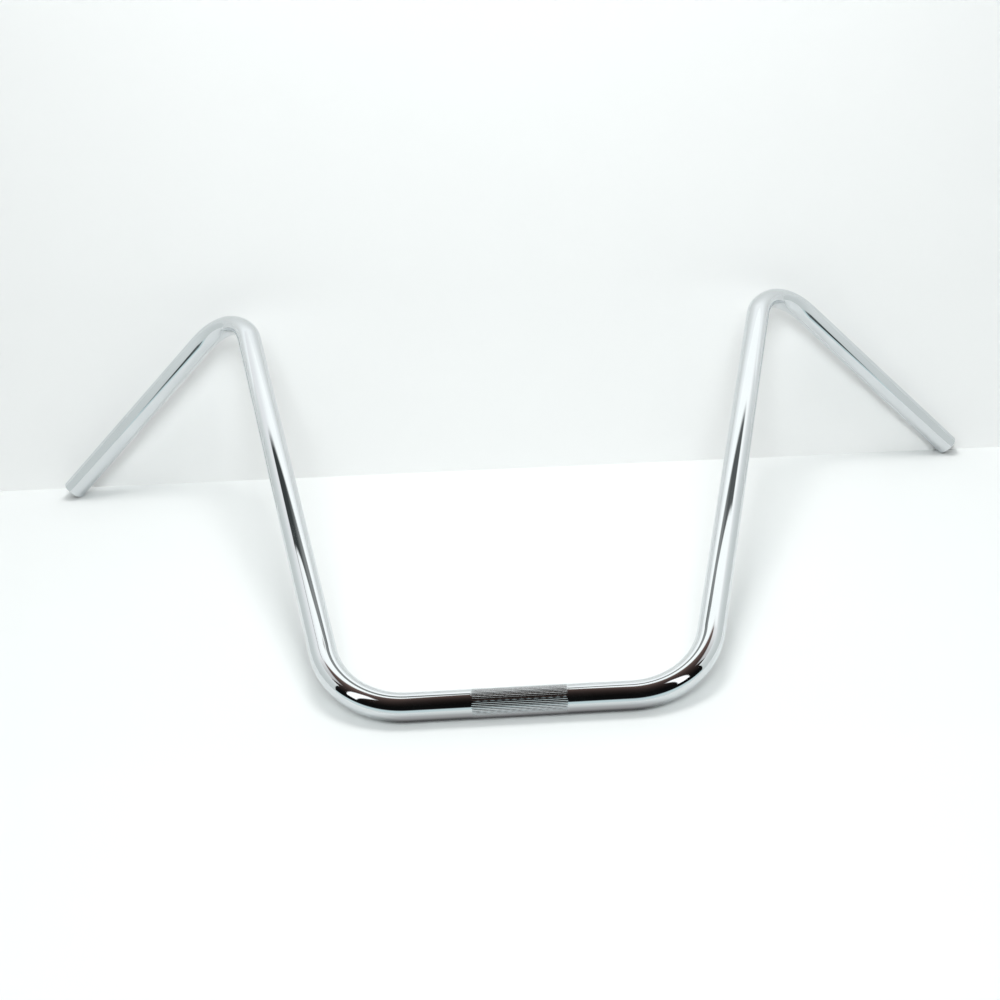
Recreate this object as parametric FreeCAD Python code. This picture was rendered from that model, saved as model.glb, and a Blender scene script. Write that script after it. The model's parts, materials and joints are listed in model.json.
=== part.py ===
"""Moped handlebar: one bent steel tube with a knurled clamp seat, lying as it comes to rest.

Millimetres. The origin is the middle of the clamp seat, +X runs along the base run and +Z is up.
Seen from the seat of the moped the bar's right hand is at -X, because the grips point to the rider.
"""
import FreeCAD, Part
import math
import os

# Tube stock
TUBE_DIAMETER = 22.0
TUBE_WALL = 2.0
END_BREAK = 0.5

# Bar shape. Each length runs between the corner points where the straight runs would meet.
BASE_WIDTH = 275.0
RISER_LENGTH = 500.0
GRIP_LENGTH = 280.0
RISER_SPLAY = 15.0
GRIP_SWEEP = 40.0
GRIP_DROP = 20.0

# Bend radii, to the centreline of the tube
LOWER_BEND_RADIUS = 70.0
UPPER_BEND_RADIUS = 55.0

# The upper bends are tight, so half way round the tube has lost depth and gained width
OVAL_FLATTENING = 3.8
OVAL_SPREAD = 0.9
OVAL_STATIONS = 8
OVAL_LOFT_DEGREE = 2

# Straight knurl on the clamp seat
KNURL_LENGTH = 72.0
KNURL_PITCH = 1.44
KNURL_DEPTH = 0.2
KNURL_LAND = 0.5

TUBE_RADIUS = TUBE_DIAMETER / 2
BORE_RADIUS = TUBE_RADIUS - TUBE_WALL
ORIGIN = FreeCAD.Vector(0, 0, 0)
ACROSS = FreeCAD.Vector(1, 0, 0)


def unit(vector):
    """Copy of a vector at length one."""
    return FreeCAD.Vector(vector).normalize()


def upright_corners():
    """Corner points of the +X half of a bar that stands upright with its grips towards +Y."""
    splay = math.radians(RISER_SPLAY)
    sweep = math.radians(GRIP_SWEEP)
    drop = math.radians(GRIP_DROP)
    riser = FreeCAD.Vector(math.sin(splay), 0, math.cos(splay))
    level = math.cos(drop)
    grip = FreeCAD.Vector(level * math.cos(sweep), level * math.sin(sweep), -math.sin(drop))
    foot = ACROSS * (BASE_WIDTH / 2)
    shoulder = foot + riser * RISER_LENGTH
    tip = shoulder + grip * GRIP_LENGTH
    return foot, shoulder, tip


def lean_back(vector, degrees):
    """Turn a vector about the base run, so that what stood up falls towards +Y."""
    return FreeCAD.Rotation(ACROSS, -degrees).multVec(vector)


def end_height(degrees):
    """Height of the lowest point of a bar end above the axis of the base run."""
    foot, shoulder, tip = [lean_back(point, degrees) for point in upright_corners()]
    along = unit(tip - shoulder)
    reach = math.sqrt(1 - along.z ** 2)
    outer_rim = (tip - along * END_BREAK).z - TUBE_RADIUS * reach
    face_rim = tip.z - (TUBE_RADIUS - END_BREAK) * reach
    return min(outer_rim, face_rim)


def resting_lean():
    """Degrees from upright at which the bar ends stand on the floor under the base run."""
    standing = 0.0
    fallen = 90.0
    for step in range(60):
        middle = (standing + fallen) / 2
        if end_height(middle) > -TUBE_RADIUS:
            standing = middle
        else:
            fallen = middle
    return fallen


class Bend:
    """Arc that rounds one corner of the route."""

    def __init__(self, before, corner, after, radius):
        self.along = unit(corner - before)
        onward = unit(after - corner)
        self.turn = self.along.getAngle(onward)
        back = radius * math.tan(self.turn / 2)
        self.start = corner - self.along * back
        self.end = corner + onward * back
        self.axis = unit(self.along.cross(onward))
        self.inward = self.axis.cross(self.along)
        self.centre = self.start + self.inward * radius

    def round_solid(self, tube_radius):
        """Bend that keeps the tube round."""
        rim = Part.makeCircle(tube_radius, self.start, self.along)
        disc = Part.Face(Part.Wire(rim))
        return disc.revolve(self.centre, self.axis, math.degrees(self.turn))

    def oval_section(self, share, tube_radius):
        """Section at a share of the turn, flattest and widest half way round."""
        swing = FreeCAD.Rotation(self.axis, math.degrees(self.turn * share))
        middle = self.centre + swing.multVec(self.start - self.centre)
        inward = swing.multVec(self.inward)
        squash = 1 - math.cos(math.pi * share) ** 4
        half_depth = tube_radius - squash * OVAL_FLATTENING / 2
        half_width = tube_radius + squash * OVAL_SPREAD / 2
        oval = Part.Ellipse(ORIGIN, half_width, half_depth).toShape()
        facing = FreeCAD.Rotation(self.axis, inward, self.axis.cross(inward), "XYZ")
        oval.Placement = FreeCAD.Placement(middle, facing)
        return Part.Wire(oval)

    def oval_solid(self, tube_radius):
        """Bend lofted through oval sections, round again at both ends."""
        shares = [station / OVAL_STATIONS for station in range(OVAL_STATIONS + 1)]
        sections = [self.oval_section(share, tube_radius) for share in shares]
        ruled = False
        closed = False
        return Part.makeLoft(sections, True, ruled, closed, OVAL_LOFT_DEGREE)


def straight_run(start, end, tube_radius):
    """Round bar between two points."""
    return Part.makeCylinder(tube_radius, start.distanceToPoint(end), start, end - start)


def along_route(corners, tube_radius, base_breaks):
    """Solid of one radius along the whole route, its base run divided at the given points."""
    right_tip, right_top, right_foot, left_foot, left_top, left_tip = corners
    right_upper = Bend(right_tip, right_top, right_foot, UPPER_BEND_RADIUS)
    right_lower = Bend(right_top, right_foot, left_foot, LOWER_BEND_RADIUS)
    left_lower = Bend(right_foot, left_foot, left_top, LOWER_BEND_RADIUS)
    left_upper = Bend(left_foot, left_top, left_tip, UPPER_BEND_RADIUS)
    base_points = [right_lower.end, *base_breaks, left_lower.start]
    pieces = [
        straight_run(right_tip, right_upper.start, tube_radius),
        right_upper.oval_solid(tube_radius),
        straight_run(right_upper.end, right_lower.start, tube_radius),
        right_lower.round_solid(tube_radius),
        left_lower.round_solid(tube_radius),
        straight_run(left_lower.end, left_upper.start, tube_radius),
        left_upper.oval_solid(tube_radius),
        straight_run(left_upper.end, left_tip, tube_radius),
    ]
    for start, end in zip(base_points, base_points[1:]):
        pieces.append(straight_run(start, end, tube_radius))
    return pieces[0].multiFuse(pieces[1:])


def break_ends(tube, tips):
    """Chamfer the inner and outer rims of both cut ends."""
    rims = []
    for edge in tube.Edges:
        if isinstance(edge.Curve, Part.Circle):
            if min(edge.Curve.Center.distanceToPoint(tip) for tip in tips) < END_BREAK:
                rims.append(edge)
    return tube.makeChamfer(END_BREAK, rims)


def knurl_grooves():
    """V grooves along the clamp seat, spaced evenly round the tube."""
    count = round(math.pi * TUBE_DIAMETER / KNURL_PITCH)
    half_groove = (math.pi * TUBE_DIAMETER / count - KNURL_LAND) / 2
    side = -KNURL_LENGTH / 2
    clear = 2
    root = FreeCAD.Vector(side, 0, TUBE_RADIUS - KNURL_DEPTH)
    rise = KNURL_DEPTH * clear
    flank_a = root + FreeCAD.Vector(0, half_groove * clear, rise)
    flank_b = root + FreeCAD.Vector(0, -half_groove * clear, rise)
    profile = Part.Face(Part.makePolygon([root, flank_a, flank_b, root]))
    groove = profile.extrude(ACROSS * KNURL_LENGTH)
    grooves = []
    for number in range(count):
        copy = groove.copy()
        copy.rotate(ORIGIN, ACROSS, 360 * number / count)
        grooves.append(copy)
    return Part.makeCompound(grooves)


def handlebar_tube():
    """The whole bar as one hollow solid at rest on the floor."""
    lean = resting_lean()
    left_half = [lean_back(point, lean) for point in upright_corners()]
    right_half = [FreeCAD.Vector(-point.x, point.y, point.z) for point in left_half]
    corners = right_half[::-1] + left_half
    knurl_ends = [ACROSS * (-KNURL_LENGTH / 2), ACROSS * (KNURL_LENGTH / 2)]
    outside = along_route(corners, TUBE_RADIUS, knurl_ends)
    bore = along_route(corners, BORE_RADIUS, [])
    tube = break_ends(outside.cut(bore), (corners[0], corners[-1]))
    return tube.cut(knurl_grooves())


bar = handlebar_tube()
if len(bar.Solids) != 1 or not bar.isValid():
    raise ValueError("the bar did not come out as one sound solid")
os.makedirs("parts", exist_ok=True)
bar.Solids[0].exportStep("parts/handlebar_tube.step")
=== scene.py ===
"""Moped handlebar for looking at: one bent tube with bright plating and a knurled clamp seat.

Metres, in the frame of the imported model. The origin is the middle of the clamp seat, +X runs along the
base run to the rider's left hand, and +Z is up. The bar lies on its base run and its two cut ends.
"""
import json
import math
import random

import bpy
from bpy.props import FloatProperty, FloatVectorProperty, PointerProperty
from mathutils import Matrix, Quaternion, Vector


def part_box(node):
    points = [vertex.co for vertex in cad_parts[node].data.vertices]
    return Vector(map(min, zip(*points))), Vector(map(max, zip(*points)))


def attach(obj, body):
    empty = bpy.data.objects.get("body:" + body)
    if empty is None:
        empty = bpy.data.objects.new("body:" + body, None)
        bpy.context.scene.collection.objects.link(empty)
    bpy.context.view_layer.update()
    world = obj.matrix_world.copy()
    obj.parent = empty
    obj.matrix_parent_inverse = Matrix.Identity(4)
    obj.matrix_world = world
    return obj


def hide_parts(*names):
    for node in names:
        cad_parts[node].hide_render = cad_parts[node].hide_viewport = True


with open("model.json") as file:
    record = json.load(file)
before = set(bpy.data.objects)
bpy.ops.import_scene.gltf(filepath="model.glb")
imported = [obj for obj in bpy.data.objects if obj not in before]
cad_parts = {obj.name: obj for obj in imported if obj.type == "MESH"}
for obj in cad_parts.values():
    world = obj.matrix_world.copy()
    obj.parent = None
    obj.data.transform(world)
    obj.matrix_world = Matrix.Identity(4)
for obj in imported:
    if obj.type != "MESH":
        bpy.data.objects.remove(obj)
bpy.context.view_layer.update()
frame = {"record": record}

bl_info = {
    "name": "Moped handlebar",
    "version": (1, 0, 0),
    "blender": (4, 5, 0),
    "location": "View3D > Sidebar > Handlebar",
    "description": "Builds a plated moped handlebar on a pale studio floor",
    "category": "Object",
}

MM = 0.001
BODY = "root"
NODE = "handlebar_tube"

MOUNTS = {mount["name"]: mount for mount in frame["record"]["mounts"]}
SEAT = MOUNTS["clamp_seat"]
LEFT_END = MOUNTS["left_bar_end"]
FLOOR_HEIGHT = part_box(NODE)[0][2]

# How finely the tube is divided
ROUND_PARTS = 128
BORE_PARTS = 64
RIDGE_PARTS = 12
BEND_STEP = math.radians(1.2)
BORE_STEP = math.radians(4.0)
RUN_SUPPORTS = (0.0, 1.2 * MM, 4 * MM, 12 * MM)
RUN_STEP = 40 * MM
CLOSEST_RINGS = 0.3 * MM
PLACE_DIGITS = 7
SHARP_ANGLE = math.radians(34)

# Straight runs and bends are counted from the right cut end
BASE_RUN = 3
BENDS_FLATTENED = (1, 0, 0, 1)

# Length left clear at each cut end for the rings of its rim, in end breaks
RIM_ROOM = 2

ACROSS = Vector((1, 0, 0))
Y_AXIS, Z_AXIS = 1, 2

# Map of the tube's skin: turns round it and metres along it
TUBE_MAP = "along_tube"
HALF_TURN = 0.5

# Kinds of settings: lengths in metres, colours, and shares from none to all
LENGTH = {"subtype": "DISTANCE", "unit": "LENGTH", "precision": 5}
COLOUR = {"subtype": "COLOR", "size": 3, "min": 0, "max": 1}
SHARE = {"subtype": "FACTOR", "min": 0, "max": 1}


class HandlebarSizes(bpy.types.PropertyGroup):
    """Sizes of the bar, each length between the points where the straight runs would meet."""

    tube_diameter: FloatProperty(
        name="Tube diameter", description="Outside of the tube",
        **LENGTH, default=2 * SEAT["dims"]["r_mm"] * MM)
    bore_diameter: FloatProperty(
        name="Bore", description="Inside of the tube",
        **LENGTH, default=2 * LEFT_END["dims"]["r_mm"] * MM)
    base_width: FloatProperty(
        name="Base width", description="Between the feet of the two risers", **LENGTH, default=275 * MM)
    grip_length: FloatProperty(
        name="Grip length", description="From the shoulder to the cut end", **LENGTH, default=280 * MM)
    lower_bend: FloatProperty(
        name="Lower bend", description="Radius of the lower bends, to the middle of the tube",
        **LENGTH, default=70 * MM)
    upper_bend: FloatProperty(
        name="Upper bend", description="Radius of the upper bends, to the middle of the tube",
        **LENGTH, default=55 * MM)
    flattening: FloatProperty(
        name="Flattening", description="Depth that the tube loses half way round an upper bend",
        **LENGTH, default=3.8 * MM)
    spread: FloatProperty(
        name="Spread", description="Width that the tube gains half way round an upper bend",
        **LENGTH, default=0.9 * MM)
    end_break: FloatProperty(
        name="End break", description="Rounding of the rims at the cut ends", **LENGTH, default=0.5 * MM)
    knurl_length: FloatProperty(
        name="Knurl length", description="Length of the knurled clamp seat", **LENGTH, default=72 * MM)
    knurl_pitch: FloatProperty(
        name="Knurl pitch", description="From ridge to ridge round the tube", **LENGTH, default=1.44 * MM)
    knurl_depth: FloatProperty(
        name="Knurl depth", description="Depth of the grooves between the ridges", **LENGTH, default=0.2 * MM)
    knurl_land: FloatProperty(
        name="Knurl land", description="Flat left on top of each ridge", **LENGTH, default=0.5 * MM)


class PlatingFinish(bpy.types.PropertyGroup):
    """Colours and gloss of the plating and of the bare steel inside the tube."""

    plating: FloatVectorProperty(
        name="Plating", description="Colour of the bright plating", **COLOUR, default=(0.70, 0.72, 0.73))
    plating_shade: FloatVectorProperty(
        name="Plating shade", description="Colour where the plating looks a little deeper",
        **COLOUR, default=(0.665, 0.69, 0.71))
    gloss: FloatProperty(
        name="Plating roughness", description="Roughness of the clean plating", **SHARE, default=0.035)
    haze: FloatProperty(
        name="Haze", description="Roughness that handling adds in patches", **SHARE, default=0.05)
    cut_gloss: FloatProperty(
        name="Cut roughness", description="Roughness of the plated cut faces", **SHARE, default=0.24)
    # Colour of the knurl's grooves: dull plating, darkened as painted shade
    groove_dullness_and_shade: FloatVectorProperty(
        name="Groove dullness and shade", description="Colour of the dull plating in the knurl's grooves",
        **COLOUR, default=(0.30, 0.31, 0.31))
    bare_steel: FloatVectorProperty(
        name="Bare steel", description="Colour of the unplated bore", **COLOUR, default=(0.30, 0.29, 0.28))
    oxide: FloatVectorProperty(
        name="Oxide", description="Colour of the brown film in the bore",
        **COLOUR, default=(0.16, 0.085, 0.045))
    plated_depth: FloatProperty(
        name="Plated depth", description="How far the plating reaches into the bore",
        **LENGTH, default=14 * MM)


class StudioSettings(bpy.types.PropertyGroup):
    """Floor, backdrop, light and camera."""

    floor_colour: FloatVectorProperty(
        name="Floor", description="Colour of the floor", **COLOUR, default=(0.83, 0.845, 0.84))
    backdrop_colour: FloatVectorProperty(
        name="Backdrop", description="Colour of the sheet behind the bar",
        **COLOUR, default=(0.95, 0.952, 0.945))
    surround: FloatProperty(
        name="Surround", description="Brightness of the pale surround", min=0, default=0.95)
    tent_height: FloatProperty(
        name="Tent height", description="Height of the tent's roof over the axis of the base run",
        **LENGTH, default=0.48)
    tent_half_width: FloatProperty(
        name="Tent half width", description="From the middle to each side of the tent",
        **LENGTH, default=0.65)
    tent_front: FloatProperty(
        name="Tent front", description="How far the sides of the tent reach in front of the base run",
        **LENGTH, default=0.165)
    lip_distance: FloatProperty(
        name="Lip distance", description="From the base run to the white lip at the front of the tent",
        **LENGTH, default=0.35)
    roof_glow: FloatProperty(
        name="Roof", description="Brightness of the tent's white roof", min=0, default=1.4)
    side_glow: FloatProperty(
        name="Sides", description="Brightness of the tent's sides", min=0, default=0.92)
    top_light: FloatProperty(
        name="Top light", description="Power of the wide lamp overhead", unit="POWER", min=0, default=9.5)
    front_light: FloatProperty(
        name="Front light", description="Power of the wide lamp over the camera", unit="POWER",
        min=0, default=14.5)
    camera_place: FloatVectorProperty(
        name="Camera", description="Place of the camera", subtype="XYZ", unit="LENGTH", size=3,
        precision=5, default=(0.0119545, -0.7364673, 0.537379))
    camera_yaw: FloatProperty(
        name="Yaw", description="Turn of the camera to the right", subtype="ANGLE",
        default=math.radians(0.7948))
    camera_pitch: FloatProperty(
        name="Pitch", description="Tilt of the camera downwards", subtype="ANGLE",
        default=math.radians(25.5412))
    camera_roll: FloatProperty(
        name="Roll", description="Roll of the camera", subtype="ANGLE", default=math.radians(2.6087))
    camera_lens: FloatProperty(
        name="Lens", description="Focal length in millimetres for a 36 mm sensor", default=42.929)
    camera_shift: FloatVectorProperty(
        name="Shift", description="Sideways and upward shift of the picture", size=2, precision=5,
        default=(-0.03922, -0.02291))


class Value:
    """A node's output that can stand in a sum, so that shader maths reads as plain expressions."""

    def __init__(self, tree, socket):
        self.tree = tree
        self.socket = socket

    def other(self, name):
        """Another output of the same node."""
        return Value(self.tree, self.socket.node.outputs[name])

    def _math(self, operation, first, second):
        return self.tree.add("ShaderNodeMath", {"operation": operation}, {0: first, 1: second})

    def __add__(self, other):
        return self._math("ADD", self, other)

    def __radd__(self, other):
        return self._math("ADD", other, self)

    def __sub__(self, other):
        return self._math("SUBTRACT", self, other)

    def __rsub__(self, other):
        return self._math("SUBTRACT", other, self)

    def __mul__(self, other):
        return self._math("MULTIPLY", self, other)

    def __rmul__(self, other):
        return self._math("MULTIPLY", other, self)

    def __truediv__(self, other):
        return self._math("DIVIDE", self, other)

    def __rtruediv__(self, other):
        return self._math("DIVIDE", other, self)


class Tree:
    """Nodes of one material, or of the surround."""

    def __init__(self, owner):
        owner.use_nodes = True
        self.nodes = owner.node_tree.nodes
        self.links = owner.node_tree.links
        self.nodes.clear()

    def add(self, kind, settings=None, sockets=None, output=0):
        """Add a node, set it up, fill its sockets with numbers or links, and give one of its outputs."""
        node = self.nodes.new(kind)
        for name, setting in (settings or {}).items():
            setattr(node, name, setting)
        for key, content in (sockets or {}).items():
            if isinstance(content, Value):
                self.links.new(content.socket, node.inputs[key])
            else:
                node.inputs[key].default_value = content
        return Value(self, node.outputs[output]) if node.outputs else None

    def place(self):
        """Place on the object, in metres."""
        return self.add("ShaderNodeTexCoord", output="Object")

    def axes(self, vector):
        """The three parts of a vector."""
        x_part = self.add("ShaderNodeSeparateXYZ", None, {0: vector})
        return x_part, x_part.other("Y"), x_part.other("Z")

    def function(self, operation, value):
        """Function of one value, such as its sine or its square root."""
        return self.add("ShaderNodeMath", {"operation": operation}, {0: value})

    def size(self, value):
        """Value without its sign."""
        return self.function("ABSOLUTE", value)

    def step(self, value, low, high):
        """Soft step from 0 at low to 1 at high."""
        settings = {"interpolation_type": "SMOOTHSTEP"}
        return self.add("ShaderNodeMapRange", settings, {0: value, 1: low, 2: high, 3: 0.0, 4: 1.0})

    def noise(self, vector, scale, detail=2.0, roughness=0.5):
        """Cloudy pattern between 0 and 1."""
        sockets = {"Vector": vector, "Scale": scale, "Detail": detail, "Roughness": roughness}
        return self.add("ShaderNodeTexNoise", {"noise_dimensions": "3D"}, sockets)

    def blend(self, share, first, second):
        """Colour that goes from the first to the second with the share."""
        return self.add("ShaderNodeMix", {"data_type": "RGBA"}, {0: share, 6: first, 7: second}, 2)

    def bump(self, height, strength, distance):
        """Normal of a surface with a fine relief."""
        sockets = {"Strength": strength, "Distance": distance, "Height": height}
        return self.add("ShaderNodeBump", None, sockets)

    def finish(self, shader):
        """Make a shader the surface of the material."""
        self.add("ShaderNodeOutputMaterial", None, {"Surface": shader})


def opaque(colour):
    """Colour with full alpha."""
    return (*colour, 1.0)


class Section:
    """One cross-section of the tube: its place, its axes and how far a bend has flattened it."""

    def __init__(self, middle, along, facing, inward, squash, distance):
        self.middle = middle
        self.along = along
        self.facing = facing
        self.beside = along.cross(facing)
        self.inward = inward
        self.sideways = along.cross(inward)
        self.squash = squash
        self.distance = distance

    def outward(self, angle):
        """Direction away from the tube's axis at an angle round it."""
        return self.facing * math.cos(angle) + self.beside * math.sin(angle)

    def point(self, angle, radius, sizes):
        """Point of the skin at an angle round the tube."""
        out = self.outward(angle)
        half_depth = radius - self.squash * sizes.flattening / 2
        half_width = radius + self.squash * sizes.spread / 2
        depth = self.inward * (out.dot(self.inward) * half_depth)
        width = self.sideways * (out.dot(self.sideways) * half_width)
        return self.middle + depth + width


def route_corners(sizes):
    """Corner points of the route from the right cut end to the left one."""
    along_grip = Vector(LEFT_END["axis"]).normalized()
    tip = Vector(LEFT_END["pos_m"]) + along_grip * sizes.end_break
    shoulder = tip - along_grip * sizes.grip_length
    foot = ACROSS * (sizes.base_width / 2)
    left = [foot, shoulder, tip]
    right = [Vector((-point.x, point.y, point.z)) for point in left]
    return right[::-1] + left


def run_places(length, stops):
    """Distances along a straight run: close together at its ends and at the given stops."""
    places = set()
    for stop in [0.0, length, *stops]:
        for support in RUN_SUPPORTS:
            places.add(round(stop + support, PLACE_DIGITS))
            places.add(round(stop - support, PLACE_DIGITS))
    count = max(1, round(length / RUN_STEP))
    places.update(round(length * number / count, PLACE_DIGITS) for number in range(count + 1))
    kept = []
    for place in sorted(places):
        if 0 <= place <= length and (not kept or place - kept[-1] > CLOSEST_RINGS):
            kept.append(place)
    kept[-1] = length
    return kept


def route_sections(sizes, bend_step, base_stops):
    """Cross-sections of the whole route, from the right cut end to the left one."""
    corners = route_corners(sizes)
    radii = (sizes.upper_bend, sizes.lower_bend, sizes.lower_bend, sizes.upper_bend)
    sections = []
    start = corners[0]
    travelled = 0.0
    along = (corners[1] - corners[0]).normalized()
    facing = along.orthogonal().normalized()
    for number in range(1, len(corners)):
        inward = facing
        if number == len(corners) - 1:
            run_end = corners[-1]
        else:
            onward = (corners[number + 1] - corners[number]).normalized()
            turn = along.angle(onward)
            radius = radii[number - 1]
            back = radius * math.tan(turn / 2)
            run_end = corners[number] - along * back
        run = (run_end - start).length
        stops = [run / 2 + stop for stop in base_stops] if number == BASE_RUN else []
        for place in run_places(run, stops):
            sections.append(Section(start + along * place, along, facing, inward, 0.0, travelled + place))
        travelled += run
        if number == len(corners) - 1:
            break
        axis = along.cross(onward).normalized()
        inward = axis.cross(along)
        centre = run_end + inward * radius
        count = math.ceil(turn / bend_step)
        for step in range(1, count):
            share = step / count
            swing = Quaternion(axis, turn * share)
            squash = BENDS_FLATTENED[number - 1] * (1 - math.cos(math.pi * share) ** 4)
            middle = centre + swing @ (run_end - centre)
            sections.append(Section(
                middle, swing @ along, swing @ facing, swing @ inward, squash,
                travelled + radius * turn * share))
        swing = Quaternion(axis, turn)
        travelled += radius * turn
        start = corners[number] + onward * back
        along = onward
        facing = swing @ facing
    return sections


class Skin:
    """Points and faces of the tube, laid ring by ring."""

    def __init__(self):
        self.points = []
        self.faces = []
        self.coats = []
        self.rounds = []
        self.lengths = []

    def ring(self, places, distance):
        """Add one ring of points and give their numbers."""
        first = len(self.points)
        count = len(places)
        self.points.extend(places)
        self.rounds.extend(number / count for number in range(count))
        self.lengths.extend([distance] * count)
        return list(range(first, first + count))

    def join(self, near, far, coat):
        """Faces between two rings, of which one may have more points than the other."""
        few, many = (near, far) if len(near) < len(far) else (far, near)
        for number in range(len(few)):
            first = few[number]
            second = few[(number + 1) % len(few)]
            begin = number * len(many) // len(few)
            end = (number + 1) * len(many) // len(few)
            edge = [many[part % len(many)] for part in range(begin, end + 1)]
            if few is near:
                self.faces.append([first, second, *edge[::-1]])
            else:
                self.faces.append([*edge, second, first])
            self.coats.append(coat)

    def mesh(self, name, coats):
        """Blender mesh with a map of turns round the tube and metres along it."""
        mesh = bpy.data.meshes.new(name)
        mesh.from_pydata([tuple(point) for point in self.points], [], self.faces)
        for coat in coats:
            mesh.materials.append(coat)
        mesh.polygons.foreach_set("material_index", self.coats)
        mesh.polygons.foreach_set("use_smooth", [True] * len(self.faces))
        layer = mesh.uv_layers.new(name=TUBE_MAP)
        places = []
        for face in self.faces:
            turns = [self.rounds[point] for point in face]
            crosses_seam = max(turns) - min(turns) > HALF_TURN
            for point, turn in zip(face, turns):
                if crosses_seam and turn < HALF_TURN:
                    turn += 1.0
                places.extend((turn, self.lengths[point]))
        layer.data.foreach_set("uv", places)
        mesh.set_sharp_from_angle(angle=SHARP_ANGLE)
        mesh.update()
        if mesh.validate():
            raise RuntimeError("the tube's skin has faulty faces")
        return mesh


class Knurl:
    """Straight ridges pressed round the clamp seat, softened by the plating."""

    RUNOUT = 0.5 * MM
    STEPS = 60
    SEED = 11

    # Shares of a groove's depth: softening of the flanks, unevenness between ridges, wander along each
    SOFTENING = 0.25
    UNEVEN = 0.15
    WANDER = 0.2
    WANDER_LENGTH = 0.7 * MM
    WANDER_STRETCH = (0.8, 1.25)

    def __init__(self, sizes):
        self.sizes = sizes
        self.half = sizes.knurl_length / 2
        self.count = round(math.pi * sizes.tube_diameter / sizes.knurl_pitch)
        self.land = sizes.knurl_land / 2 / (math.pi * sizes.tube_diameter / self.count)
        chance = random.Random(self.SEED)
        self.depths = [1 + chance.uniform(-1, 1) * self.UNEVEN for ridge in range(self.count)]
        self.phases = [chance.uniform(0, 2 * math.pi) for ridge in range(self.count)]
        self.stretches = [chance.uniform(*self.WANDER_STRETCH) for ridge in range(self.count)]

    def places(self):
        """Places of its rings along the base run, measured from the middle."""
        inner = self.half - self.RUNOUT
        inside = [inner * (2 * step / self.STEPS - 1) for step in range(self.STEPS + 1)]
        return [-self.half, *inside, self.half]

    def radius(self, turn, place):
        """Radius of the skin at a turn round the tube, counted in ridges, and a place along the seat."""
        full = self.sizes.tube_diameter / 2
        if abs(place) > self.half - self.RUNOUT / 2:
            return full
        ridge = round(turn) % self.count
        from_crest = abs(turn - round(turn))
        fall = max(0.0, (from_crest - self.land) / (0.5 - self.land))
        soft_fall = fall - self.SOFTENING * math.sin(2 * math.pi * fall) / (2 * math.pi)
        wave = math.sin(place / (self.WANDER_LENGTH * self.stretches[ridge]) + self.phases[ridge])
        return full - self.sizes.knurl_depth * soft_fall * (self.depths[ridge] + self.WANDER * wave)


def angles_round(parts):
    """Even angles round the tube."""
    return [2 * math.pi * part / parts for part in range(parts)]


def skin_ring(skin, section, radius, sizes, parts):
    """Ring round one cross-section, oval where a bend has flattened the tube."""
    points = [section.point(angle, radius, sizes) for angle in angles_round(parts)]
    return skin.ring(points, section.distance)


def outer_rings(skin, sizes):
    """Rings of the plated outside, with the knurl in the middle of the base run."""
    knurl = Knurl(sizes)
    radius = sizes.tube_diameter / 2
    sections = route_sections(sizes, BEND_STEP, [-knurl.half, knurl.half])
    last = sections[-1].distance
    seat = min(sections, key=lambda section: abs(section.distance - last / 2))
    rings = []
    knurled = False
    for section in sections:
        if min(section.distance, last - section.distance) < RIM_ROOM * sizes.end_break:
            continue
        if abs(section.distance - last / 2) > knurl.half + knurl.RUNOUT:
            rings.append(skin_ring(skin, section, radius, sizes, ROUND_PARTS))
        elif not knurled:
            rings.extend(knurl_rings(skin, knurl, seat, last / 2))
            knurled = True
    return rings, sections


def knurl_rings(skin, knurl, seat, distance):
    """Fine rings across the clamp seat, plain at both ends."""
    angles = angles_round(knurl.count * RIDGE_PARTS)
    rings = []
    for place in knurl.places():
        points = []
        for part, angle in enumerate(angles):
            radius = knurl.radius(part / RIDGE_PARTS, place)
            points.append(ACROSS * place + seat.outward(angle) * radius)
        rings.append(skin.ring(points, distance + place))
    return rings


# Profile of a broken rim, in breaks in from the skin and down from the cut face
RIM_PROFILE = ((0.0, 1.25), (0.02, 1.1), (0.08, 0.95), (0.5, 0.5), (0.95, 0.08), (1.1, 0.02), (1.25, 0.0))


def rim_rings(skin, sizes, section, sign):
    """Rings over a cut end, from the outside over both broken rims to the bore."""
    rings = []
    for across, down in RIM_PROFILE:
        radius = sizes.tube_diameter / 2 - across * sizes.end_break
        rings.append(flat_ring(skin, section, radius, down * sizes.end_break * sign, ROUND_PARTS))
    for across, down in RIM_PROFILE[::-1]:
        radius = sizes.bore_diameter / 2 + across * sizes.end_break
        rings.append(flat_ring(skin, section, radius, down * sizes.end_break * sign, BORE_PARTS))
    return rings


def flat_ring(skin, section, radius, depth, parts):
    """Round ring square to the tube, a depth inside a cut end."""
    middle = section.middle + section.along * depth
    places = [middle + section.outward(angle) * radius for angle in angles_round(parts)]
    return skin.ring(places, section.distance + depth)


def bore_rings(skin, sizes):
    """Rings of the bare inside, from the right cut end to the left one."""
    radius = sizes.bore_diameter / 2
    sections = route_sections(sizes, BORE_STEP, [])
    last = sections[-1].distance
    rings = []
    for section in sections:
        if min(section.distance, last - section.distance) > RIM_ROOM * sizes.end_break:
            rings.append(skin_ring(skin, section, radius, sizes, BORE_PARTS))
    return rings


# Finish of each face of the skin, by its number in the tube's list
PLATED, CUT, BARE = range(3)


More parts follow.
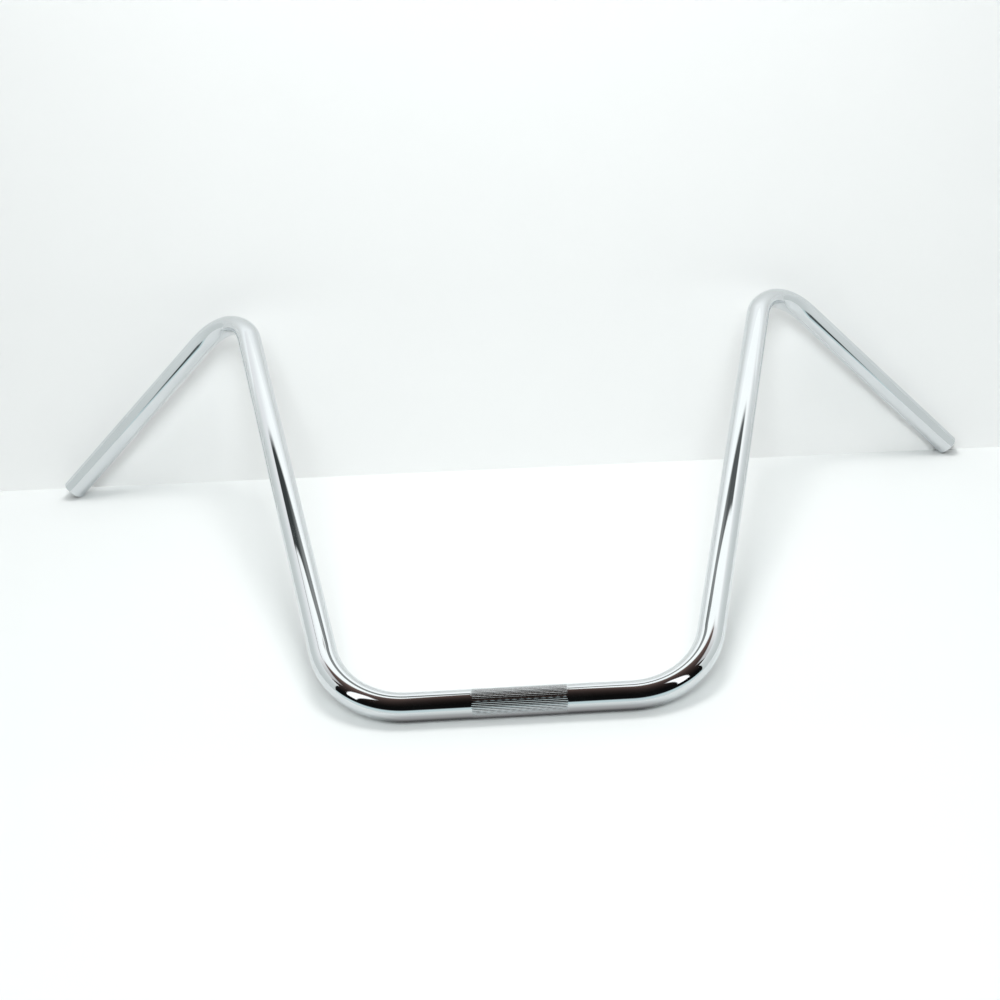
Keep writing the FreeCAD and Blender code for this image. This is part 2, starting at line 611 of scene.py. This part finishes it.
def tube_mesh(sizes, coats):
    """The whole tube as one closed skin: outside, cut ends and bore."""
    skin = Skin()
    outside, sections = outer_rings(skin, sizes)
    right_rim = rim_rings(skin, sizes, sections[0], 1)
    left_rim = rim_rings(skin, sizes, sections[-1], -1)
    bore = bore_rings(skin, sizes)
    chain = right_rim[::-1] + outside + left_rim
    outside_first = len(right_rim) - 1
    outside_last = outside_first + len(outside) + 1
    for number in range(len(chain) - 1):
        coat = PLATED if outside_first <= number < outside_last else CUT
        skin.join(chain[number], chain[number + 1], coat)
    loop = [left_rim[-1], *bore[::-1], right_rim[-1]]
    for number in range(len(loop) - 1):
        skin.join(loop[number], loop[number + 1], BARE)
    return skin.mesh("handlebar_tube_skin", coats)


def metal_shader(tree, colour, metallic, roughness, normal):
    """Metal of one colour, gloss and relief."""
    sockets = {"Base Color": colour, "Metallic": metallic, "Roughness": roughness, "Normal": normal}
    return tree.add("ShaderNodeBsdfPrincipled", None, sockets)


# Dull plating in the knurl's grooves, darkened towards the roots as painted shade: shares of the depth where
# it begins and is full, and its fade at the ends
DULL_SHADE_DEPTHS = (0.2, 0.9)
DULL_SHADE_FADE = 0.4 * MM

# Noises of the plating: scale, detail and roughness
POLISH_NOISE = (1.0, 2.0, 0.55)
HAZE_NOISE = (34.0, 3.0, 0.55)
SPECK_NOISE = (900.0, 1.0, 0.4)
RIPPLE_NOISE = (14.0, 1.0, 0.4)

# Polishing lines go round the tube: fine in metres along it, broad round it
POLISH_ALONG = 2600
POLISH_ROUND = 1.3

# Noise values where the plating's haze and specks begin and are full
HAZE_SHOWS = (0.46, 0.72)
SPECKS_SHOW = (0.74, 0.82)

# What the marks add to the plating's roughness and relief
HAZE_EVEN = 0.4
HAZE_STREAKS = 0.9
SPECK_ROUGHNESS = 0.08
FILM_ROUGHNESS = 0.05
LINE_RELIEF = 0.012
SPECK_RELIEF = 0.02

# Cut faces: scales of their patches and grain, and roughness of the patches
CUT_PATCHES = 260.0
CUT_GRAIN = 1800.0
CUT_DULLNESS = 0.14

# Bore: its cloud of film, the ragged end of the plating in plated depths, and its grain
BORE_NOISE = (120.0, 4.0, 0.6)
RUST_SHOWS = (0.44, 0.66)
RUST_COVER = 0.85
RUST_ROUGHNESS = 0.3
STEEL_ROUGHNESS = 0.2
PLATING_ENDS = (0.5, 1.6)
RAGGEDNESS = 8 * MM
BORE_GRAIN = 1400.0
GRAIN_RELIEF = 0.5

# Strength and height of each finish's relief
PLATING_BUMP = (0.16, 0.2 * MM)
CUT_BUMP = (0.35, 0.04 * MM)
BORE_BUMP = (0.4, 0.1 * MM)


def knurl_groove(tree, place, sizes):
    """Share of dull plating and painted shade in the knurl: none on the ridges, full in the roots, and only
    on the clamp seat.
    """
    x_part, y_part, z_part = tree.axes(place)
    from_axis = tree.function("SQRT", y_part * y_part + z_part * z_part)
    depth = sizes.tube_diameter / 2 - from_axis
    begins, full = [sizes.knurl_depth * share for share in DULL_SHADE_DEPTHS]
    half = sizes.knurl_length / 2
    on_seat = 1 - tree.step(tree.size(x_part), half - DULL_SHADE_FADE, half)
    return tree.step(depth, begins, full) * on_seat


def plating_material(finish, sizes):
    """Bright plating: mirror clean, with soft haze, faint polishing lines, and dull plating in the grooves
    darkened as painted shade.
    """
    material = bpy.data.materials.new("bright_plating")
    tree = Tree(material)
    place = tree.place()
    turn, along, unused = tree.axes(tree.add("ShaderNodeUVMap", {"uv_map": TUBE_MAP}))
    angle = turn * (2 * math.pi)
    beside = tree.function("COSINE", angle) * POLISH_ROUND
    above = tree.function("SINE", angle) * POLISH_ROUND
    lines_at = tree.add("ShaderNodeCombineXYZ", None, {0: along * POLISH_ALONG, 1: beside, 2: above})
    lines = tree.noise(lines_at, *POLISH_NOISE)
    patches = tree.noise(place, *HAZE_NOISE)
    specks = tree.step(tree.noise(place, *SPECK_NOISE), *SPECKS_SHOW)
    handled = tree.step(patches, *HAZE_SHOWS)
    groove = knurl_groove(tree, place, sizes)
    clean = tree.blend(patches, opaque(finish.plating), opaque(finish.plating_shade))
    # Painted shade: the grooves' darker colour; their added roughness is the dull plating
    colour = tree.blend(groove, clean, opaque(finish.groove_dullness_and_shade))
    haze = handled * finish.haze * (HAZE_EVEN + lines * HAZE_STREAKS)
    roughness = finish.gloss + haze + specks * SPECK_ROUGHNESS + groove * FILM_ROUGHNESS
    height = tree.noise(place, *RIPPLE_NOISE) + lines * LINE_RELIEF - specks * SPECK_RELIEF
    tree.finish(metal_shader(tree, colour, 1.0, roughness, tree.bump(height, *PLATING_BUMP)))
    return material


def cut_material(finish):
    """Plated cut face: satin, with the grain that the cutting-off tool left."""
    material = bpy.data.materials.new("plated_cut_face")
    tree = Tree(material)
    place = tree.place()
    patches = tree.noise(place, CUT_PATCHES)
    colour = tree.blend(patches, opaque(finish.plating), opaque(finish.plating_shade))
    roughness = finish.cut_gloss + patches * CUT_DULLNESS
    grain = tree.bump(tree.noise(place, CUT_GRAIN), *CUT_BUMP)
    tree.finish(metal_shader(tree, colour, 1.0, roughness, grain))
    return material


def bore_material(finish, sizes):
    """Bare steel of the bore under a thin brown film, plated only near its mouth."""
    material = bpy.data.materials.new("bare_bore")
    tree = Tree(material)
    place = tree.place()
    shoulder, tip = route_corners(sizes)[-2:]
    along_grip = (tip - shoulder).normalized()
    x_part, y_part, z_part = tree.axes(place)
    reach = tree.size(x_part) * along_grip.x + y_part * along_grip.y + z_part * along_grip.z
    depth = tip.dot(along_grip) - reach
    cloud = tree.noise(place, *BORE_NOISE)
    begins, full = [finish.plated_depth * share for share in PLATING_ENDS]
    deep = tree.step(depth + cloud * RAGGEDNESS, begins, full)
    rust = tree.step(cloud, *RUST_SHOWS) * deep
    steel = tree.blend(deep, opaque(finish.plating_shade), opaque(finish.bare_steel))
    colour = tree.blend(rust, steel, opaque(finish.oxide))
    metallic = 1 - rust * RUST_COVER
    roughness = finish.cut_gloss + deep * STEEL_ROUGHNESS + rust * RUST_ROUGHNESS
    height = tree.noise(place, BORE_GRAIN) * GRAIN_RELIEF + rust
    tree.finish(metal_shader(tree, colour, metallic, roughness, tree.bump(height, *BORE_BUMP)))
    return material


class HANDLEBAR_OT_tube(bpy.types.Operator):
    """Build the bent, plated tube with its knurled clamp seat, open bore and broken cut ends"""

    bl_idname = "handlebar.tube"
    bl_label = "Bent tube"
    bl_options = {"REGISTER", "UNDO"}

    def execute(self, context):
        sizes = context.scene.handlebar_sizes
        finish = context.scene.handlebar_finish
        coats = [plating_material(finish, sizes), cut_material(finish), bore_material(finish, sizes)]
        tube = bpy.data.objects.new("plated_tube", tube_mesh(sizes, coats))
        context.scene.collection.objects.link(tube)
        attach(tube, BODY)
        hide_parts(NODE)
        return {"FINISHED"}


# Paper of the floor and the backdrop: scale of its mottle, how far that darkens it, and its gloss
PAPER_MOTTLE = 6.0
MOTTLE_SHADE = 0.985
PAPER_ROUGHNESS = 0.85
PAPER_SPECULAR = 0.1

# Floor and backdrop in metres; the backdrop's foot is a little askew and it leans back
FLOOR_REACH = 9.0
BACKDROP_FOOT = 0.436
BACKDROP_SKEW = -0.0165
BACKDROP_HALF_WIDTH = 3
BACKDROP_LEAN = 0.105
BACKDROP_HEIGHT = 0.53

# Tent, in metres across and back from the base run. Left is the rider's, at +X. Pairs are soft edges.
TENT_BACK = 0.58
SIDE_SLANT = 0.065
ROOF_HALF_WIDTH = 0.95
ROOF_FRONT = -0.75
ROOF_RIM = 0.01

# Front edge of the roof's white part, which bows forward on both sides
WHITE_EDGE = 0.195
WHITE_SOFTNESS = (-0.012, 0.016)
LEFT_BOW, LEFT_BOW_SPAN = 0.085, (0.0, 0.18)
RIGHT_BOW, RIGHT_BOW_SPAN = 0.135, (0.04, 0.24)
BOWS_MEET = (-0.01, 0.01)

# Brightness of the roof: less at its right, and like the sides at both ends
ROOF_TINT = (0.97, 1.0, 0.99)
ROOF_RIGHT, ROOF_RIGHT_TINT = 1.12, (0.97, 0.99, 1.0)
ROOF_BRIGHTENS = (-0.45, -0.2)
ROOF_ENDS, ROOF_ENDS_SPAN = 1.12, (0.44, 0.68)

# Dark gap across the roof: its edges, how far they step back, and its darkness
GAP_FRONT = (0.216, 0.230)
GAP_FRONT_LEFT, GAP_FRONT_LEFT_SPAN = 0.034, (0.03, 0.08)
GAP_FRONT_RIGHT, GAP_FRONT_RIGHT_SPAN = 0.013, (0.1, 0.22)
GAP_BACK = (0.354, 0.392)
GAP_BACK_SIDES, GAP_BACK_SIDES_SPAN = 0.01, (0.2, 0.34)
GAP_RIGHT_END = (-0.445, -0.415)
GAP_LEFT_END = (0.365, 0.43)
GAP_LEFT_LOSS, GAP_LEFT_LOSS_SPAN = 0.05, (0.15, 0.25)
GAP_MIDDLE = 0.79
GAP_SIDES_GAIN, GAP_SIDES_SPAN = 0.2, (0.04, 0.24)
GAP_GLOW, GAP_TINT = 0.05, (0.85, 1.0, 1.0)

# Seam down the right of the roof, in front of the gap
SEAM_PLACE = 0.40
SEAM_WIDTH = (0.006, 0.014)
SEAM_BACK = (0.24, 0.26)
SEAM_COLOUR = (0.12, 0.09, 0.08, 1.0)

# Dark room in front of the white, brownish near its edge
ROOM_GLOW = 0.004
ROOM_EDGE = (0.20, 0.135, 0.12, 1.0)
ROOM_FADE = 0.15

# Lamp panels in the room: place and slope of the near and far line of each
LEFT_PANEL = ((0.07, 0.70), (0.118, 1.08))
RIGHT_PANEL = ((0.095, 0.67), (0.06, 0.87))
PANEL_START = (0.225, 0.26)
PANEL_NEAR_SOFTNESS = (-0.01, 0.012)
PANEL_FAR_SOFTNESS = (-0.012, 0.012)
PANEL_GLOW = 1.5

# Cloth that hangs at both sides of the room
CLOTH_SLANT = 0.36
CLOTH_EDGE = (0.365, 0.415)
CLOTH_FRONT = (-0.135, -0.11)
CLOTH_LOW, CLOTH_HIGH = 0.74, 1.1
CLOTH_BRIGHTENS = (-0.06, 0.10)

# Plain cards: brightness as a share of the sides' glow with a tint, and where the first gives way
SIDE_LOW, SIDE_HIGH = (0.87, (0.94, 1.0, 0.99)), (1.25, (0.97, 1.0, 1.0))
SIDE_FADE = (0.1, 0.7)
BACK_LOW, BACK_HIGH = (0.97, (0.96, 1.0, 0.99)), (1.36, (0.97, 1.0, 1.0))
BACK_FADE = (0.2, 0.42)
LIP_WHITE, LIP_DARK = (0.98, (0.80, 0.97, 1.0)), 0.006
LIP_FADE = (0.02, 0.075)
APRON_FAR, APRON_NEAR = (0.97, (0.82, 0.98, 1.0)), (1.04, (0.96, 1.0, 0.99))
APRON_FADE = (-0.12, -0.045)

# Sizes of the plain cards; the back card's are shares of the backdrop's
BACK_CARD_WIDTH = 0.4
BACK_CARD_FOOT = 0.4
BACK_CARD_HEIGHT = 0.55
BACK_CARD_AHEAD = Vector((0, -0.004, 0))
LIP_HALF_WIDTH = 1.2
LIP_TOP = 0.13
APRON_BACK = -0.045
APRON_LIFT = 0.2 * MM

# Painted shade on a card over the floor in front of the base run, seen only in reflections: its size, three
# tones outwards, and where they change
SHADE_HALF_WIDTH = 0.13
SHADE_FRONT, SHADE_BACK = -0.052, -0.0027
SHADE_LIFT = 0.3 * MM
SHADE_TONES = (0.08, 0.46, 0.84)
SHADE_TINT = (0.95, 1.0, 0.99)
SHADE_FIRST_CHANGE = (0.006, 0.016)
SHADE_SECOND_CHANGE = (0.014, 0.033)
SHADE_FADE = (0.036, 0.05)
SHADE_ENDS = (0.085, 0.125)

# Surround: heights and directions, of a length of one, where its parts change, and their light
HORIZON = (-0.03, 0.03)
TOWARDS_BACK = (0.1, 0.4)
OVERHEAD = (0.1, 0.8)
PALE_TINT = (0.97, 1.0, 0.995, 1.0)
PALE_SHARE, DIM_SHARE = 0.6, 0.12
TABLE_TINT = (0.80, 0.97, 1.0, 1.0)
DARK_TINT, DARK_GLOW = (0.9, 1.0, 1.0, 1.0), 0.006

# Lamps over the paper
TOP_LAMP = {"place": (0, 0.45, 1.5), "target": (0, 0.1, 0), "width": 0.5, "colour": (1.0, 1.0, 1.0)}
FRONT_LAMP = {"place": (0, -1.0, 1.35), "target": (0, 0.3, 0.15), "width": 0.8, "colour": (0.94, 0.99, 1.0)}

SENSOR_WIDTH = 36
CAMERA_NEAR, CAMERA_FAR = 0.01, 100


def flat_sheet(context, name, corners, material):
    """Flat stage sheet with the given corners."""
    mesh = bpy.data.meshes.new(name)
    mesh.from_pydata([tuple(corner) for corner in corners], [], [list(range(len(corners)))])
    mesh.materials.append(material)
    sheet = bpy.data.objects.new(name, mesh)
    context.scene.collection.objects.link(sheet)
    return sheet


def level_corners(half_width, front, back, height):
    """Corners of a level sheet."""
    near = [(-half_width, front, height), (half_width, front, height)]
    far = [(half_width, back, height), (-half_width, back, height)]
    return near + far


def paper_material(name, colour, one_sided):
    """Matt paper with a faint mottle; a one-sided sheet isn't there for what comes from behind it."""
    material = bpy.data.materials.new(name)
    tree = Tree(material)
    mottle = tree.noise(tree.place(), PAPER_MOTTLE)
    shade = tree.blend(mottle, opaque(colour), opaque([part * MOTTLE_SHADE for part in colour]))
    sockets = {"Base Color": shade, "Roughness": PAPER_ROUGHNESS, "Specular IOR Level": PAPER_SPECULAR}
    paper = tree.add("ShaderNodeBsdfPrincipled", None, sockets)
    if one_sided:
        behind = tree.add("ShaderNodeNewGeometry", output="Backfacing")
        clear = tree.add("ShaderNodeBsdfTransparent")
        paper = tree.add("ShaderNodeMixShader", None, {0: behind, 1: paper, 2: clear})
    tree.finish(paper)
    return material


def glow_shader(tree, colour):
    """Surface that only gives light, in a colour that may change over it."""
    sockets = {"Base Color": (0, 0, 0, 1), "Specular IOR Level": 0.0, "Emission Color": colour,
               "Emission Strength": 1.0}
    return tree.add("ShaderNodeBsdfPrincipled", None, sockets)


def grey(value, tint=(1.0, 1.0, 1.0)):
    """Opaque grey with a faint tint."""
    return opaque([value * part for part in tint])


def roof_material(studio):
    """Roof of the tent: white with a dark gap and a seam, then the dark room in front with its lamps."""
    material = bpy.data.materials.new("tent_roof")
    tree = Tree(material)
    x_part, y_part, unused = tree.axes(tree.place())
    aside = tree.size(x_part)
    on_right = tree.step(0 - x_part, *BOWS_MEET)
    left_edge = WHITE_EDGE - tree.step(aside, *LEFT_BOW_SPAN) * LEFT_BOW
    right_edge = WHITE_EDGE - tree.step(aside, *RIGHT_BOW_SPAN) * RIGHT_BOW
    past_edge = y_part - left_edge - on_right * (right_edge - left_edge)
    half_width = studio.tent_half_width
    inside = 1 - tree.step(aside, half_width, half_width + ROOF_RIM)
    white = tree.step(past_edge, *WHITE_SOFTNESS) * inside
    right, left = grey(ROOF_RIGHT, ROOF_RIGHT_TINT), grey(studio.roof_glow, ROOF_TINT)
    middle = tree.blend(tree.step(x_part, *ROOF_BRIGHTENS), right, left)
    ends = tree.step(aside, *ROOF_ENDS_SPAN)
    roof = tree.blend(ends, middle, grey(studio.side_glow * ROOF_ENDS))
    gap = roof_gap(tree, x_part, y_part, aside)
    holed_roof = tree.blend(gap, roof, grey(GAP_GLOW, GAP_TINT))
    beside_seam = tree.step(tree.size(x_part + SEAM_PLACE), *SEAM_WIDTH)
    seam = (1 - beside_seam) * (1 - tree.step(y_part, *SEAM_BACK))
    seamed_roof = tree.blend(seam, holed_roof, SEAM_COLOUR)
    near_edge = tree.function("EXPONENT", past_edge / ROOM_FADE)
    room = tree.blend(near_edge, grey(ROOM_GLOW), ROOM_EDGE)
    left_panel = lamp_panel(tree, x_part, y_part, *LEFT_PANEL)
    right_panel = lamp_panel(tree, 0 - x_part, y_part, *RIGHT_PANEL)
    lit_room = tree.blend(left_panel + right_panel, room, grey(PANEL_GLOW))
    hangs = tree.step(aside + y_part * CLOTH_SLANT, *CLOTH_EDGE) * tree.step(y_part, *CLOTH_FRONT) * inside
    cloth = tree.blend(tree.step(y_part, *CLOTH_BRIGHTENS), grey(CLOTH_LOW), grey(CLOTH_HIGH))
    front = tree.blend(hangs, lit_room, cloth)
    tree.finish(glow_shader(tree, tree.blend(white, front, seamed_roof)))
    return material


def roof_gap(tree, x_part, y_part, aside):
    """Share of the dark gap in the roof."""
    front_right = tree.step(0 - x_part, *GAP_FRONT_RIGHT_SPAN) * GAP_FRONT_RIGHT
    front_left = tree.step(x_part, *GAP_FRONT_LEFT_SPAN) * GAP_FRONT_LEFT
    past_front = tree.step(y_part - front_right - front_left, *GAP_FRONT)
    back_sides = tree.step(aside, *GAP_BACK_SIDES_SPAN) * GAP_BACK_SIDES
    past_back = tree.step(y_part - back_sides, *GAP_BACK)
    right = tree.step(x_part, *GAP_RIGHT_END)
    left_loss = tree.step(x_part, *GAP_LEFT_LOSS_SPAN) * GAP_LEFT_LOSS
    left = 1 - left_loss - tree.step(x_part, *GAP_LEFT_END) * (1 - GAP_LEFT_LOSS)
    darkness = tree.step(aside, *GAP_SIDES_SPAN) * GAP_SIDES_GAIN + GAP_MIDDLE
    return past_front * (1 - past_back) * right * left * darkness


def lamp_panel(tree, outward, y_part, near, far):
    """Lamp panel that widens outwards, between a near and a far line with their places and slopes."""
    under_near = tree.step(near[0] - outward * near[1] - y_part, *PANEL_NEAR_SOFTNESS)
    over_far = tree.step(y_part - far[0] + outward * far[1], *PANEL_FAR_SOFTNESS)
    return tree.step(outward, *PANEL_START) * under_near * over_far


def card_colour(studio, shade):
    """Colour of a plain card, from its share of the sides' glow and its tint."""
    share, tint = shade
    return grey(studio.side_glow * share, tint)


def faded_card(name, axis, fade, first, second):
    """Card that glows in one colour before a fade along an axis, and in a second one past it."""
    material = bpy.data.materials.new(name)
    tree = Tree(material)
    along = tree.axes(tree.place())[axis]
    tree.finish(glow_shader(tree, tree.blend(tree.step(along, *fade), first, second)))
    return material


def side_material(studio):
    """Side of the tent, brighter towards the roof."""
    low, high = card_colour(studio, SIDE_LOW), card_colour(studio, SIDE_HIGH)
    return faded_card("tent_side", Z_AXIS, SIDE_FADE, low, high)


def back_material(studio):
    """Upper part of the tent's back, brighter towards the roof."""
    low, high = card_colour(studio, BACK_LOW), card_colour(studio, BACK_HIGH)
    return faded_card("tent_back", Z_AXIS, BACK_FADE, low, high)


def lip_material(studio):
    """White lip at the front of the tent, bluish from the daylight and fading out at its top."""
    return faded_card("tent_lip", Z_AXIS, LIP_FADE, card_colour(studio, LIP_WHITE), grey(LIP_DARK))


def apron_material(studio):
    """Table in front of the tent, bluish and dimmer away from the bar."""
    far, near = card_colour(studio, APRON_FAR), card_colour(studio, APRON_NEAR)
    return faded_card("tent_apron", Y_AXIS, APRON_FADE, far, near)


def contact_material():
    """Painted shade on a glowing card close in front of the base run, which gives way to the real floor at
    its edges.
    """
    material = bpy.data.materials.new("contact_shade")
    tree = Tree(material)
    x_part, y_part, unused = tree.axes(tree.place())
    reach = 0 - y_part
    dark, middle, pale = SHADE_TONES
    deep = tree.blend(tree.step(reach, *SHADE_FIRST_CHANGE), grey(dark), grey(middle))
    shade = tree.blend(tree.step(reach, *SHADE_SECOND_CHANGE), deep, grey(pale, SHADE_TINT))
    inside = (1 - tree.step(tree.size(x_part), *SHADE_ENDS)) * (1 - tree.step(reach, *SHADE_FADE))
    clear = tree.add("ShaderNodeBsdfTransparent")
    sockets = {0: 1 - inside, 1: glow_shader(tree, shade), 2: clear}
    tree.finish(tree.add("ShaderNodeMixShader", None, sockets))
    return material


def show_in_reflections_only(card):
    """Keep a card of the tent out of the picture and out of the light on the paper."""
    card.visible_camera = False
    card.visible_diffuse = False
    card.visible_transmission = False
    card.visible_volume_scatter = False
    card.visible_shadow = False


def backdrop_axes():
    """Foot of the backdrop, half of its width and its rise."""
    foot = Vector((0, BACKDROP_FOOT, FLOOR_HEIGHT))
    beside = Vector((1, BACKDROP_SKEW, 0)).normalized() * BACKDROP_HALF_WIDTH
    rise = Vector((0, BACKDROP_LEAN, BACKDROP_HEIGHT))
    return foot, beside, rise


def light_tent(context, studio):
    """Tent of light over the bar, open and dark in front, which shows in reflections only."""
    floor, roof = FLOOR_HEIGHT, studio.tent_height
    wide, front, back = studio.tent_half_width, -studio.tent_front, TENT_BACK
    roof_corners = level_corners(ROOF_HALF_WIDTH, ROOF_FRONT, back, roof)[::-1]
    cards = [flat_sheet(context, "tent_roof", roof_corners, roof_material(studio))]
    side_paper = side_material(studio)
    for name, x_place in (("tent_right_side", -wide), ("tent_left_side", wide)):
        foot_line = [(x_place, front, floor), (x_place, back, floor)]
        top_line = [(x_place, back, roof), (x_place, front - SIDE_SLANT, roof)]
        cards.append(flat_sheet(context, name, foot_line + top_line, side_paper))
    foot, beside, rise = backdrop_axes()
    low = foot + rise * BACK_CARD_FOOT + BACK_CARD_AHEAD
    high = low + rise * BACK_CARD_HEIGHT
    half = beside * BACK_CARD_WIDTH
    back_corners = [low - half, low + half, high + half, high - half]
    cards.append(flat_sheet(context, "tent_back", back_corners, back_material(studio)))
    lip = -studio.lip_distance
    lip_foot = [(-LIP_HALF_WIDTH, lip, floor), (LIP_HALF_WIDTH, lip, floor)]
    lip_top = [(LIP_HALF_WIDTH, lip, LIP_TOP), (-LIP_HALF_WIDTH, lip, LIP_TOP)]
    cards.append(flat_sheet(context, "tent_lip", lip_foot + lip_top, lip_material(studio)))
    apron_corners = level_corners(LIP_HALF_WIDTH, lip, APRON_BACK, floor + APRON_LIFT)
    cards.append(flat_sheet(context, "tent_apron", apron_corners, apron_material(studio)))
    # Card of painted shade in front of the base run, seen only in reflections
    shade_corners = level_corners(SHADE_HALF_WIDTH, SHADE_FRONT, SHADE_BACK, floor + SHADE_LIFT)
    cards.append(flat_sheet(context, "contact_shade", shade_corners, contact_material()))
    for card in cards:
        show_in_reflections_only(card)


def plain_light(tree, colour, strength):
    """Light of one colour for a part of the surround."""
    return tree.add("ShaderNodeBackground", None, {"Color": colour, "Strength": strength})


def studio_surround(context, studio):
    """Pale light from overhead on the paper; in reflections a bluish table and a dark room in front."""
    world = bpy.data.worlds.new("studio_surround")
    context.scene.world = world
    tree = Tree(world)
    unused, y_part, z_part = tree.axes(tree.add("ShaderNodeTexCoord", output="Generated"))
    in_front = tree.step(z_part, *HORIZON) * (1 - tree.step(y_part, *TOWARDS_BACK))
    overhead = tree.step(z_part, *OVERHEAD)
    mirrored = tree.add("ShaderNodeLightPath", output="Is Glossy Ray")
    pale = plain_light(tree, PALE_TINT, studio.surround * PALE_SHARE)
    dim = plain_light(tree, PALE_TINT, studio.surround * DIM_SHARE)
    table = plain_light(tree, TABLE_TINT, studio.surround)
    dark = plain_light(tree, DARK_TINT, DARK_GLOW)
    room = tree.add("ShaderNodeMixShader", None, {0: in_front, 1: table, 2: dark})
    on_paper = tree.add("ShaderNodeMixShader", None, {0: overhead, 1: dim, 2: pale})
    light = tree.add("ShaderNodeMixShader", None, {0: mirrored, 1: on_paper, 2: room})
    tree.add("ShaderNodeOutputWorld", None, {"Surface": light})


def wide_lamp(context, name, settings, power):
    """Wide soft lamp that lights the paper and stays out of the reflections."""
    data = bpy.data.lights.new(name, "AREA")
    data.shape = "SQUARE"
    data.size = settings["width"]
    data.energy = power
    data.color = settings["colour"]
    lamp = bpy.data.objects.new(name, data)
    lamp.location = settings["place"]
    ahead = Vector(settings["target"]) - Vector(settings["place"])
    lamp.rotation_euler = ahead.to_track_quat("-Z", "Y").to_euler()
    lamp.visible_camera = False
    lamp.visible_glossy = False
    context.scene.collection.objects.link(lamp)


def photo_camera(context, studio):
    """Camera at the place, angle and framing of the photograph."""
    yaw, pitch, roll = studio.camera_yaw, studio.camera_pitch, studio.camera_roll
    forward = Vector((
        math.sin(yaw) * math.cos(pitch), math.cos(yaw) * math.cos(pitch), -math.sin(pitch)))
    level = Vector((math.cos(yaw), -math.sin(yaw), 0))
    down = forward.cross(level)
    right = level * math.cos(roll) + down * math.sin(roll)
    up = level * math.sin(roll) - down * math.cos(roll)
    turn = Matrix((right, up, -forward)).transposed().to_4x4()
    data = bpy.data.cameras.new("photo_camera")
    data.sensor_width = SENSOR_WIDTH
    data.lens = studio.camera_lens
    data.shift_x, data.shift_y = studio.camera_shift
    data.clip_start = CAMERA_NEAR
    data.clip_end = CAMERA_FAR
    camera = bpy.data.objects.new("photo_camera", data)
    camera.matrix_world = Matrix.Translation(Vector(studio.camera_place)) @ turn
    context.scene.collection.objects.link(camera)
    context.scene.camera = camera


class HANDLEBAR_OT_stage(bpy.types.Operator):
    """Lay the pale floor and backdrop and set up the soft light and the camera"""

    bl_idname = "handlebar.stage"
    bl_label = "Studio"
    bl_options = {"REGISTER", "UNDO"}

    def execute(self, context):
        studio = context.scene.handlebar_studio
        floor_corners = level_corners(FLOOR_REACH, -FLOOR_REACH, FLOOR_REACH, FLOOR_HEIGHT)
        floor_paper = paper_material("floor_paper", tuple(studio.floor_colour), False)
        flat_sheet(context, "floor", floor_corners, floor_paper)
        foot, beside, rise = backdrop_axes()
        sheet_corners = [foot - beside, foot + beside, foot + beside + rise, foot - beside + rise]
        sheet_paper = paper_material("backdrop_paper", tuple(studio.backdrop_colour), True)
        flat_sheet(context, "backdrop", sheet_corners, sheet_paper)
        light_tent(context, studio)
        studio_surround(context, studio)
        wide_lamp(context, "top_lamp", TOP_LAMP, studio.top_light)
        wide_lamp(context, "front_lamp", FRONT_LAMP, studio.front_light)
        photo_camera(context, studio)
        context.scene.view_settings.view_transform = "Standard"
        return {"FINISHED"}


class HANDLEBAR_PT_panel(bpy.types.Panel):
    """Sizes, finish and studio of the handlebar, with the buttons that build them"""

    bl_idname = "HANDLEBAR_PT_panel"
    bl_label = "Moped handlebar"
    bl_space_type = "VIEW_3D"
    bl_region_type = "UI"
    bl_category = "Handlebar"

    def draw(self, context):
        layout = self.layout
        scene = context.scene
        for group in (scene.handlebar_sizes, scene.handlebar_finish, scene.handlebar_studio):
            box = layout.box()
            for name in group.__annotations__:
                box.prop(group, name)
        for operator in (HANDLEBAR_OT_tube, HANDLEBAR_OT_stage):
            layout.operator(operator.bl_idname)


CLASSES = (
    HandlebarSizes, PlatingFinish, StudioSettings,
    HANDLEBAR_OT_tube, HANDLEBAR_OT_stage, HANDLEBAR_PT_panel,
)


def register():
    """Add the classes and the settings to Blender."""
    for entry in CLASSES:
        bpy.utils.register_class(entry)
    bpy.types.Scene.handlebar_sizes = PointerProperty(type=HandlebarSizes)
    bpy.types.Scene.handlebar_finish = PointerProperty(type=PlatingFinish)
    bpy.types.Scene.handlebar_studio = PointerProperty(type=StudioSettings)


def unregister():
    """Take the settings and the classes out of Blender."""
    del bpy.types.Scene.handlebar_studio
    del bpy.types.Scene.handlebar_finish
    del bpy.types.Scene.handlebar_sizes
    for entry in reversed(CLASSES):
        bpy.utils.unregister_class(entry)


def main():
    """Build the bar and its studio."""
    register()
    bpy.ops.handlebar.tube()
    bpy.ops.handlebar.stage()


if __name__ == "__main__":
    main()
